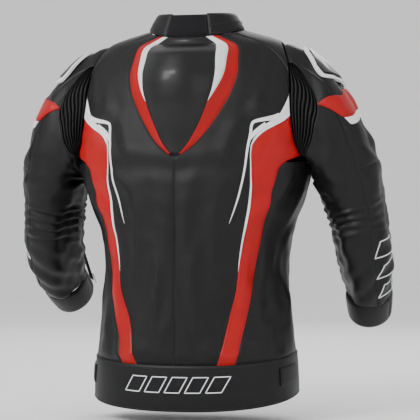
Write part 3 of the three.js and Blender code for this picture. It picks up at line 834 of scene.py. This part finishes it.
def yoke_foot(angle):
    q = np.minimum(np.abs(np.asarray(angle, float) - ARMHOLE_ANGLE) / ARMHOLE_SPREAD, 1)
    return ARMHOLE_HEIGHT + ARMHOLE_HALF * (1 - q**ARMHOLE_POWER) ** (1 / ARMHOLE_POWER)


def front_fold(h):
    return curve(((80, 117), (300, 137), (600, 156), (672, 160)), h)


def side_seam(h):
    h = np.asarray(h, float)
    low = ARMHOLE_HEIGHT - ARMHOLE_HALF - 4
    return mix(100.0, ARMHOLE_ANGLE, ease(350, low, h))


def zip_gap(h):
    e = 2 / (2.3 - 0.3 * ease(560, NECK_HEIGHT, h))
    return np.degrees(np.arcsin((9.5 / curve(BODY_PROFILE, h, 1)) ** (1 / e)))


class JACKET_OT_back(bpy.types.Operator):
    """Sews the hump, its V of stripes and the punched back panels"""
    bl_idname = "jacket.back"
    bl_label = "Back"

    def execute(self, context):
        bulge = draped("body", body_creases)
        # The hump is sewn in the lightened leather that carries the painted sheen.
        sew("torso", "leather", ("back_hump",), "hump", skin, lambda h: -hump_piping(h), hump_piping,
            (450, NECK_HEIGHT), "hump_leather", creases=bulge, step=5)
        for hand, side in SIDES:
            sew("torso", "red", (f"hump_stripe_{hand}",), f"hump_red_{hand}", skin, hump_white_edge,
                hump_edge, (448, NECK_HEIGHT), "red_leather", side, creases=bulge, thread="red_thread",
                step=4)
            sew("torso", "red", (), f"hump_white_{hand}", skin, hump_piping, hump_white_edge,
                (546, NECK_HEIGHT), "white_leather", side, creases=bulge, stitches=(0, 0), ends=(0, 1),
                step=3)
            sew("torso", "red", (), f"hump_piping_{hand}", skin, hump_piping, hump_white_edge, (448, 546),
                "red_leather", side, creases=bulge, stitches=(0, 0), ends=(1, 0), edges=(1, 0), step=3)
            sew("torso", "mesh", (f"back_panel_{hand}",), f"back_{hand}", skin,
                lambda h: np.where(h < 447, 0.0, hump_edge(h)),
                lambda h: np.where(h < 556, stripe_inner(h), np.minimum(armhole_span(h)[0], YOKE_BACK)),
                (BAND_TOP, NECK_HEIGHT), "punched_leather", side, creases=bulge)
        return {"FINISHED"}


class JACKET_OT_stripes(bpy.types.Operator):
    """Sews the long side stripes with their white edging and the thin line beside them"""
    bl_idname = "jacket.stripes"
    bl_label = "Side stripes"

    def execute(self, context):
        bulge = draped("body", body_creases)
        for hand, side in SIDES:
            sew("torso", "red", (f"side_stripe_{hand}",), f"stripe_red_{hand}", torso, white_edge,
                stripe_outer, (BAND_TOP, 523), "red_leather", side, creases=bulge, thread="red_thread",
                step=4)
            sew("torso", "red", (), f"stripe_white_{hand}", torso, stripe_inner, white_edge, (244, 556),
                "white_leather", side, creases=bulge, stitches=(0, 0), ends=(0, 0), edges=(1, 0), step=2.5)
            for name, path in (("edge_line", EDGE_LINE), ("edge_link", EDGE_LINK)):
                along = np.linspace(0, 1, 90)
                rows = np.array(path, float)
                at = np.linspace(0, 1, len(rows))
                values = [curve(np.stack([at, rows[:, k]], 1), along) for k in range(3)]
                line = ribbon(f"{name}_{hand}", torso, np.stack(values[:2], 1), values[2], "white_leather", side,
                              lift=0.9, creases=bulge)
                dress(line, "torso", "red")
        return {"FINISHED"}


class JACKET_OT_body(bpy.types.Operator):
    """Sews the sides, shoulder yokes, fronts and waistband"""
    bl_idname = "jacket.body"
    bl_label = "Sides, fronts and waistband"

    def execute(self, context):
        bulge = draped("body", body_creases)
        top, foot = NECK_HEIGHT, BAND_TOP
        for hand, side in SIDES:
            sew("torso", "leather", (f"side_panel_{hand}",), f"flank_{hand}", torso, stripe_outer,
                side_seam, (foot, 434), "black_leather", side, creases=bulge)
            sew("torso", "leather", (f"shoulder_yoke_{hand}",), f"yoke_{hand}", torso,
                lambda a: yoke_foot(a) + 1.5, constant(top), (YOKE_BACK, YOKE_FRONT), "black_leather", side,
                swap=True, creases=bulge)

            def fold_back(h):
                h = np.asarray(h, float)
                near = armhole_span(h)[1]
                return np.where(h < 440, side_seam(h), np.where(h < 560, near, np.maximum(near, YOKE_FRONT)))

            wrap = panel(f"front_side_{hand}", torso, fold_back, front_fold, (foot, top), "black_leather", side,
                         creases=bulge)
            bend(wrap, "torso", f"front_{hand}", (175, 40, 330), (118, 84, 330), side, "leather",
                 f"front_fold_{hand}")
            sew(f"front_{hand}", "leather", (f"front_panel_{hand}",), f"front_{hand}", torso, front_fold,
                lambda h: 180 - zip_gap(h), (foot, top), "black_leather", side, creases=bulge)
            sew(f"front_{hand}", "leather", (f"waistband_front_{hand}",), f"band_front_{hand}", torso,
                constant(118.8), lambda h: 180 - zip_gap(h), (0, foot), "black_leather", side, lift=1.2,
                thick=5.4, puff=1.2)
            strip = panel(f"band_fold_{hand}", torso, constant(113.2), constant(119), (0, foot), "stretch", side,
                          lift=0.8, thick=4.6, stitches=(0, 0), sink=0.8)
            bend(strip, "torso", f"front_{hand}", torso(113.8, 40.0), torso(118.4, 40.0), side, "stretch")
            tab = panel(f"side_tab_{hand}", torso, constant(66), constant(88), (30, 62), "black_leather", side,
                        lift=5, thick=3, sink=0.9, inside="black_leather")
            dress(tab, f"waist_tab_{hand}", "leather", f"waist_tab_{hand}")
        band = panel("waistband", torso, constant(-113.4), constant(113.4), (0, foot), "black_leather",
                     lift=1.2, thick=5.4, puff=1.2)
        dress(band, "torso", "leather", "waistband_back")
        for k, (low, high) in enumerate(((3, 3.8), (76.4, 77.2))):
            for hand, side in SIDES:
                angles = np.linspace(0, 113, 140)
                cord = ribbon(f"band_stitch_{hand}_{k + 1}", torso, np.stack([angles, np.full(140, low)], 1), 0.9,
                              "dark_thread", side, lift=2.2 if k else 1.9, thick=0.6, round_top=0.2)
                dress(cord, "torso", "leather")
        return {"FINISHED"}


class JACKET_OT_collar(bpy.types.Operator):
    """Sews the stand collar with its soft insert, a stitched ridge and closing tab"""
    bl_idname = "jacket.collar"
    bl_label = "Collar"

    def execute(self, context):
        insert = panel("collar_insert", collar, constant(-27.6), constant(27.6), (0, 0.95), "neoprene",
                       thick=4.6, puff=0.8, fine=4)
        dress(insert, "torso", "neoprene", "collar_back")
        for hand, side in SIDES:
            back = panel(f"neck_side_{hand}", collar, constant(27.6), constant(99.6), (0, 1), "black_leather",
                         side, thick=4.6, puff=1.0, fine=4)
            dress(back, "torso", "leather", f"collar_side_{hand}")
            front = panel(f"neck_front_{hand}", collar, constant(100.1), constant(177), (0, 1),
                          "black_leather", side, thick=4.6, puff=1.0, fine=4)
            dress(front, f"front_{hand}", "leather", f"collar_front_{hand}")
            for piece, span, body in (("side", (28, 99), "torso"),
                                      ("front", (100.6, 176.6), f"front_{hand}")):
                angles = np.linspace(*span, 60)
                line = ribbon(f"collar_ridge_{piece}_{hand}", collar, np.stack([angles, np.full(60, 0.45)], 1),
                              1.1, "dark_thread", side, lift=1.2, thick=0.9, round_top=0.3)
                dress(line, body, "leather")
        tab = panel("neck_tab", collar, constant(171), constant(190), (0.55, 0.95), "black_leather", lift=3.2,
                    thick=2.5, sink=0.8, inside="black_leather", fine=4, step=4)
        dress(tab, "collar_tab", "leather", "collar_tab")
        return {"FINISHED"}


# --- Sleeves ---
ARMHOLE_SEAM = -1.5
ARM_BAND_TOP = ((-34, 84), (0, 85), (15, 86), (30, 87), (50, 77.5), (60, 71), (76, 62))
ARM_BAND_FOOT = ((-34, 108), (0, 109), (15, 110), (30, 110), (44, 107), (50, 104), (56, 97), (64, 84),
                 (76, 62.8))
ARM_STRIP_WIDTH = ((-34, 8), (42, 8), (50, 0.8))
LEAF_CUTS = (50, 66, 82, 98, 114, 132, 150)
HEAD_CUTS = (150, 164, 178, 192, 208, 226, 246, 268, 292, 318, 346, 376, 410)


def bend_line(surface, first, last):
    """Start and end of the straight bend that best fits one sector of the sleeve head.

    Under the shoulder cup the bend is over sooner, so that the cup stays on its leather.
    """
    angle, share = np.meshgrid(np.linspace(first, last, 7), np.linspace(0, 1, 9), indexing="ij")
    length = curve(((36, 34), (80, 66), (240, 66), (298, 34), (396, 34), (410, 46)), angle)
    points = surface(angle, mix(6.0, length, share)).reshape(-1, 3)
    middle = points.mean(0)
    rows = np.concatenate([np.ones((len(points), 1)), points - middle], 1)
    soft = np.diag([0.0, 1.0, 1.0, 1.0]) * 40.0
    fit = np.linalg.solve(rows.T @ rows + soft, rows.T @ share.ravel())
    slope = fit[1:]
    start = middle - slope * fit[0] / (slope @ slope)
    return start, start + slope / (slope @ slope)


def leaf_edge(angle):
    """Far edge of the ribbed shoulder insert, as a length from the armhole."""
    return curve(((50, 5), (58, 18), (66, 32), (72, 52), (79, 65), (88, 70), (102, 69.5), (120, 60), (138, 36),
                  (150, 12)), angle)


class JACKET_OT_sleeves(bpy.types.Operator):
    """Sews the sleeves: shoulder head, upper arm, rippled elbow, forearm and cuff"""
    bl_idname = "jacket.sleeves"
    bl_label = "Sleeves"

    def execute(self, context):
        rib = context.scene.jacket_sizes.rib_height * 1000
        for hand, side in SIDES:
            arm = sleeve(side)
            bulge = draped(f"sleeve_{hand}", sleeve_creases(side))

            def ribs(s, t):
                return rib * (np.abs(np.sin(math.pi * 7 * s)) ** 0.8 - 0.6)

            outer = f"upper_arm_{hand}"
            # The sleeve head and its ribbed insert are cut in sectors that run out from the armhole.
            for number, (start, end) in enumerate(zip(LEAF_CUTS, LEAF_CUTS[1:]), 1):
                leaf = panel(f"shoulder_ribs_{number}_{hand}", arm, constant(ARMHOLE_SEAM), leaf_edge,
                             (start - 0.5, end + 0.5), "black_leather", side, swap=True, relief=(ribs, 90),
                             puff=1.5, stitches=(0, 0), thick=3,
                             ends=(start == LEAF_CUTS[0], end == LEAF_CUTS[-1]))
                near, far = bend_line(arm, start, end)
                bend(leaf, "torso", outer, near, far, side, "stretch",
                     *((f"shoulder_stretch_{hand}",) if number == 1 else ()))
            sectors = [(a, b, leaf_edge, (a == LEAF_CUTS[0], b == LEAF_CUTS[-1]))
                       for a, b in zip(LEAF_CUTS, LEAF_CUTS[1:])]
            sectors += [(a, b, constant(ARMHOLE_SEAM), (a == HEAD_CUTS[0], b == HEAD_CUTS[-1]))
                        for a, b in zip(HEAD_CUTS, HEAD_CUTS[1:])]
            for number, (start, end, low, seams) in enumerate(sectors, 1):
                piece = panel(f"sleeve_head_{number}_{hand}", arm, low, constant(HEAD_END),
                              (start - 0.5, end + 0.5), "black_leather", side, swap=True, creases=bulge,
                              ends=seams, edges=(1, 0), stitches=(1, 0))
                near, far = bend_line(arm, start, end)
                bend(piece, "torso", outer, near, far, side, "leather")

            for part, span, rows, seams in (
                    ("outside", (-60, 58), (HEAD_END, 166), (0, 1)),
                    ("guard", (-60, 58), (166, SLEEVE_CUT), (1, 0)),
                    ("behind", (58, 200), (HEAD_END, SLEEVE_CUT), (0, 0)),
                    ("inside", (200, 300), (HEAD_END, SLEEVE_CUT), (0, 0))):
                piece = panel(f"upper_{part}_{hand}", arm, constant(span[0]), constant(span[1]), rows,
                              "black_leather", side, creases=bulge, ends=seams,
                              puff=0.8 if part == "guard" else 0)
                dress(piece, outer, "leather", *((f"upper_sleeve_{hand}",) if part == "behind" else ()))

            centre_above = arm_frame(side, SLEEVE_CUT - SLEEVE_HEAD)[0]
            centre_below = arm_frame(side, ELBOW_END - SLEEVE_HEAD)[0]
            for part, span in (("guard", (-60, 58)), ("behind", (58, 200)), ("inside", (200, 300))):
                piece = panel(f"elbow_{part}_{hand}", arm, constant(span[0]), constant(span[1]),
                              (SLEEVE_CUT, ELBOW_END), "stretch" if part == "inside" else "black_leather", side,
                              creases=bulge, ends=(0, 0), step=3.5)
                bend(piece, outer, f"forearm_{hand}", centre_above, centre_below, side,
                     "stretch" if part == "inside" else "leather",
                     *((f"elbow_stretch_{hand}",) if part == "behind" else ()))

            for part, low, high in (("outside", -60, 62), ("behind", 62, 200), ("inside", 200, 300)):
                sew(f"forearm_{hand}", "leather", (f"forearm_{hand}",) if part == "behind" else (),
                    f"forearm_{part}_{hand}", arm, constant(low), constant(high), (ELBOW_END, CUFF_START),
                    "black_leather", side, creases=bulge, ends=(0, 1))
            for part, low, high in (("behind", 20, 200), ("front", 200, 380)):
                sew(f"forearm_{hand}", "leather", (f"cuff_{hand}",) if part == "behind" else (),
                    f"cuff_{part}_{hand}", arm, constant(low), constant(high), (CUFF_START, SLEEVE_END),
                    "black_leather", side, lift=0.4, puff=1.0, sink=1.6)

            # Red band across the upper arm with a white strip under it.
            def top_of(a):
                return curve(ARM_BAND_TOP, a)

            def foot_of(a):
                return curve(ARM_BAND_FOOT, a)

            def strip_foot(a):
                return foot_of(a) + curve(ARM_STRIP_WIDTH, a)

            red = panel(f"arm_flash_{hand}", arm, top_of, foot_of, (-34, 76), "red_leather", side, swap=True,
                        creases=bulge, lift=2.6, thick=2.2, thread="red_thread", sink=0.9, step=4)
            dress(red, outer, "red", f"arm_band_{hand}")
            strip = panel(f"arm_flash_white_{hand}", arm, foot_of, strip_foot, (-34, 50),
                          "white_leather", side, swap=True, creases=bulge, lift=2.4, thick=2.0, sink=0.7,
                          stitches=(0, 0), step=3)
            dress(strip, outer, "red")
        return {"FINISHED"}


class JACKET_OT_cups(bpy.types.Operator):
    """Finishes the moulded shoulder cups and their white edging"""
    bl_idname = "jacket.cups"
    bl_label = "Shoulder cups"

    def execute(self, context):
        for hand, side in SIDES:
            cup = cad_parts[f"shoulder_cup_{hand}"]
            cup.data.materials.clear()
            cup.data.materials.append(finish("cup"))
            cup.data.polygons.foreach_set("use_smooth", np.ones(len(cup.data.polygons), bool))
            joined = cup.modifiers.new("joined", "WELD")
            joined.merge_threshold = 0.0002
            rounded = cup.modifiers.new("rounded", "BEVEL")
            rounded.width, rounded.segments, rounded.limit_method = 0.0012, 3, "ANGLE"
            rounded.harden_normals = True
            arm = sleeve(side)
            turn = np.linspace(0, math.tau, 120, endpoint=False)
            across, along = signed_power(np.cos(turn), 0.5), signed_power(np.sin(turn), 0.6)
            middle = 1 - across**2
            v = mix(mix(40, 26, middle), mix(61, 75, middle), (along + 1) / 2)
            rim = ribbon(f"cup_edging_{hand}", arm, np.stack([-13 + 54 * across, v], 1), 7.0, "white_leather",
                         side, lift=4.2, thick=4.4, closed=True, round_top=0.8)
            dress(rim, f"upper_arm_{hand}", "red")
        return {"FINISHED"}


# --- Prints, zips and the inside ---
def slanted_bar(name, surface, centre, width, height, slant, line, side, body, lift, creases=no_creases):
    """Outline of a leaning bar; width, height and slant are in surface values."""
    (a, b), steps = centre, np.linspace(0, 1, 10)
    corners = [(a - width / 2 - slant / 2, b - height / 2), (a + width / 2 - slant / 2, b - height / 2),
               (a + width / 2 + slant / 2, b + height / 2), (a - width / 2 + slant / 2, b + height / 2)]
    path = []
    for (a0, b0), (a1, b1) in zip(corners, corners[1:] + corners[:1]):
        path += [(mix(a0, a1, t), mix(b0, b1, t)) for t in steps[:-1]]
    bar = ribbon(name, surface, path, line, "white_print", side, lift=lift, thick=0.5, closed=True,
                 creases=creases)
    dress(bar, body, "red")


BODY_ROUNDNESS = 1.15


def across_back(x, h):
    """The back of the body by the distance from its middle, so that bars of one width look alike."""
    share = np.abs(x) / curve(BODY_PROFILE, h)
    return torso(np.degrees(np.sign(x) * np.arcsin(share ** BODY_ROUNDNESS)), h)


class JACKET_OT_prints(bpy.types.Operator):
    """Prints plain leaning bars on the waistband and the forearms"""
    bl_idname = "jacket.prints"
    bl_label = "Prints"

    def execute(self, context):
        for k in range(5):
            slanted_bar(f"band_bar_{k + 1}", across_back, (-72 + 37 * k, 47), 27, 27, 15, 1.7, 1, "torso",
                        3.0)
        for hand, side in SIDES:
            bulge = draped(f"sleeve_{hand}", sleeve_creases(side))
            for k in range(3):
                slanted_bar(f"forearm_bar_{k + 1}_{hand}", sleeve(side), (29, 308 + 35 * k), 48, 22, 14, 2.0,
                            side, f"forearm_{hand}", 0.6, bulge)
        return {"FINISHED"}


class JACKET_OT_zips(bpy.types.Operator):
    """Finishes the zips: cloth tapes, metal teeth, sliders and pulls"""
    bl_idname = "jacket.zips"
    bl_label = "Zips and fittings"

    def execute(self, context):
        for name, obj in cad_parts.items():
            kind = ("metal" if "slider" in name or "pull" in name else
                    "tape" if "zip" in name else "webbing" if name == "hanger_loop" else "")
            if not kind:
                continue
            obj.data.materials.clear()
            obj.data.materials.append(finish(kind))
            joined = obj.modifiers.new("joined", "WELD")
            joined.merge_threshold = 0.00005
            edge = obj.modifiers.new("edge", "BEVEL")
            edge.width, edge.segments = 0.0003, 2
        up = np.array([0, -FRONT_LEAN, 1])
        foot = np.array([3.2, FRONT_DEPTH - FRONT_LEAN * 52 - 10, 52])
        for hand, side in SIDES:
            teeth = row_of_teeth(f"main_teeth_{hand}", foot + np.array([0, 2.0, 0]), up, (0, 1, 0), 535, 3.0,
                                 (1.7, 3.2, 0.75), "metal", side)
            dress(teeth, f"front_{hand}", "metal")
        teeth = row_of_teeth("waist_teeth", np.array([-76, -99.2, 40]), (1, 0, 0), (0, 1, 0), 152, 2.6,
                             (1.5, 4, 1.1), "metal")
        dress(teeth, "torso", "metal")
        return {"FINISHED"}


class JACKET_OT_inside(bpy.types.Operator):
    """Builds the foam back protector inside the back"""
    bl_idname = "jacket.inside"
    bl_label = "Back protector"

    def execute(self, context):
        def cells(s, t):
            return 1.6 * np.abs(np.sin(math.pi * 7 * s) * np.sin(math.pi * 17 * t)) ** 0.5

        def half(h):
            return mix(19, 26, ease(150, 380, h))

        pad = sew("torso", "foam", ("back_protector",), "protector", torso, lambda h: -half(h), half, (150, 550),
            "foam", lift=-9.5, thick=9.5, sink=3, relief=(cells, 70), stitches=(0, 0), inside="foam",
            step=7)
        return {"FINISHED"}


class JACKET_OT_settle(bpy.types.Operator):
    """Lets the spare leather of the body and sleeves wrinkle"""
    bl_idname = "jacket.settle"
    bl_label = "Settle the leather"

    def execute(self, context):
        growth = context.scene.jacket_sizes.leather_growth
        for hand, side in SIDES:
            angles, lengths = np.arange(-180.0, 181.0, 6.0), np.arange(4.0, 453.0, 6.4)
            moved = settle_leather(sleeve(side), angles, lengths, growth, SLEEVE_SETTLE_CAP)
            seam = 0.5 * (moved[:, 0] + moved[:, -1])
            moved[:, 0] = moved[:, -1] = seam
            DRAPES[f"sleeve_{hand}"] = (angles, lengths, moved)
        angles, heights = np.arange(-180.0, 181.0, 3.0), np.arange(82.0, 431.0, 7.0)
        moved = settle_leather(torso, angles, heights, growth, BODY_SETTLE_CAP)
        fade = 1 - ease(395, 430, heights)
        DRAPES["body"] = (angles, heights, moved * fade[:, None])
        return {"FINISHED"}


class JACKET_OT_stage(bpy.types.Operator):
    """Sets the floor, the soft studio light and the camera"""
    bl_idname = "jacket.stage"
    bl_label = "Stage"

    def execute(self, context):
        scene = context.scene
        low, high = CAD_BOX
        tall = high.z - low.z
        # A round floor that sweeps up into a wall.
        profile = ((0.5, 0), (6.5, 0), (7.4, 0.12), (8.2, 0.45), (8.9, 1.1), (9.4, 2.1), (9.6, 3.5), (9.6, 9))
        turns = 64
        verts = [(r * math.cos(math.tau * k / turns), r * math.sin(math.tau * k / turns), low.z - 0.02 + z)
                 for r, z in profile for k in range(turns)]
        faces = [(i * turns + k, i * turns + (k + 1) % turns, (i + 1) * turns + (k + 1) % turns,
                  (i + 1) * turns + k) for i in range(len(profile) - 1) for k in range(turns)]
        faces.append(tuple(reversed(range(turns))))
        mesh = bpy.data.meshes.new("floor")
        mesh.from_pydata(verts, [], faces)
        mesh.polygons.foreach_set("use_smooth", np.ones(len(faces), bool))
        floor = bpy.data.objects.new("floor", mesh)
        scene.collection.objects.link(floor)
        mesh.materials.append(new_material("pale_floor", (0.95, 0.95, 0.95), 0.9)[0])

        world = bpy.data.worlds.new("studio")
        world.use_nodes = True
        world.node_tree.nodes["Background"].inputs["Color"].default_value = (1, 1, 1, 1)
        world.node_tree.nodes["Background"].inputs["Strength"].default_value = 1.0
        scene.world = world
        middle = (low + high) / 2
        for name, place, size, power in (
                ("key", (-1.3, -2.0, 1.3), 0.8, 34), ("fill", (1.9, -1.6, 0.6), 1.4, 8),
                ("strip", (-0.7, -1.9, 1.5), 0.4, 12), ("rim", (0.3, 1.7, 1.6), 1.2, 14),
                ("front", (-0.6, 2.6, 1.3), 1.6, 12)):
            light = bpy.data.lights.new(name, "AREA")
            light.size, light.energy = size, power
            lamp = bpy.data.objects.new(name, light)
            lamp.location = middle + Vector(place)
            lamp.rotation_euler = (middle - lamp.location).to_track_quat("-Z", "Y").to_euler()
            scene.collection.objects.link(lamp)

        turn, away = math.radians(17), 4.0
        right = Vector((math.cos(turn), math.sin(turn), 0))
        forward = Vector((-math.sin(turn), math.cos(turn), 0))
        target = Vector(to_frame(np.array([0.0, 0.0, 351.0]))) + right * 0.023
        lens = bpy.data.cameras.new("view")
        lens.sensor_width = 36
        lens.lens = 36 * away / (1.072 * tall)
        camera = bpy.data.objects.new("view", lens)
        camera.location = target - forward * away
        camera.rotation_euler = forward.to_track_quat("-Z", "Y").to_euler()
        scene.collection.objects.link(camera)
        scene.camera = camera
        return {"FINISHED"}


class JACKET_PT_sidebar(bpy.types.Panel):
    bl_idname = "JACKET_PT_sidebar"
    bl_label = "Riding Jacket"
    bl_space_type = "VIEW_3D"
    bl_region_type = "UI"
    bl_category = "Jacket"

    def draw(self, context):
        for group in (context.scene.jacket_sizes, context.scene.jacket_colours):
            for name in type(group).__annotations__:
                self.layout.prop(group, name)
        for operator in OPERATORS:
            self.layout.operator(operator.bl_idname)


OPERATORS = (JACKET_OT_settle, JACKET_OT_back, JACKET_OT_stripes, JACKET_OT_body, JACKET_OT_collar,
             JACKET_OT_sleeves, JACKET_OT_cups, JACKET_OT_prints, JACKET_OT_zips, JACKET_OT_inside,
             JACKET_OT_stage)
CLASSES = (JacketSizes, JacketColours) + OPERATORS + (JACKET_PT_sidebar,)


def register():
    for cls in CLASSES:
        bpy.utils.register_class(cls)
    bpy.types.Scene.jacket_sizes = bpy.props.PointerProperty(type=JacketSizes)
    bpy.types.Scene.jacket_colours = bpy.props.PointerProperty(type=JacketColours)


def unregister():
    del bpy.types.Scene.jacket_colours
    del bpy.types.Scene.jacket_sizes
    for cls in reversed(CLASSES):
        bpy.utils.unregister_class(cls)


def main():
    register()
    for operator in OPERATORS:
        group, name = operator.bl_idname.split(".")
        getattr(getattr(bpy.ops, group), name)()


if __name__ == "__main__":
    main()
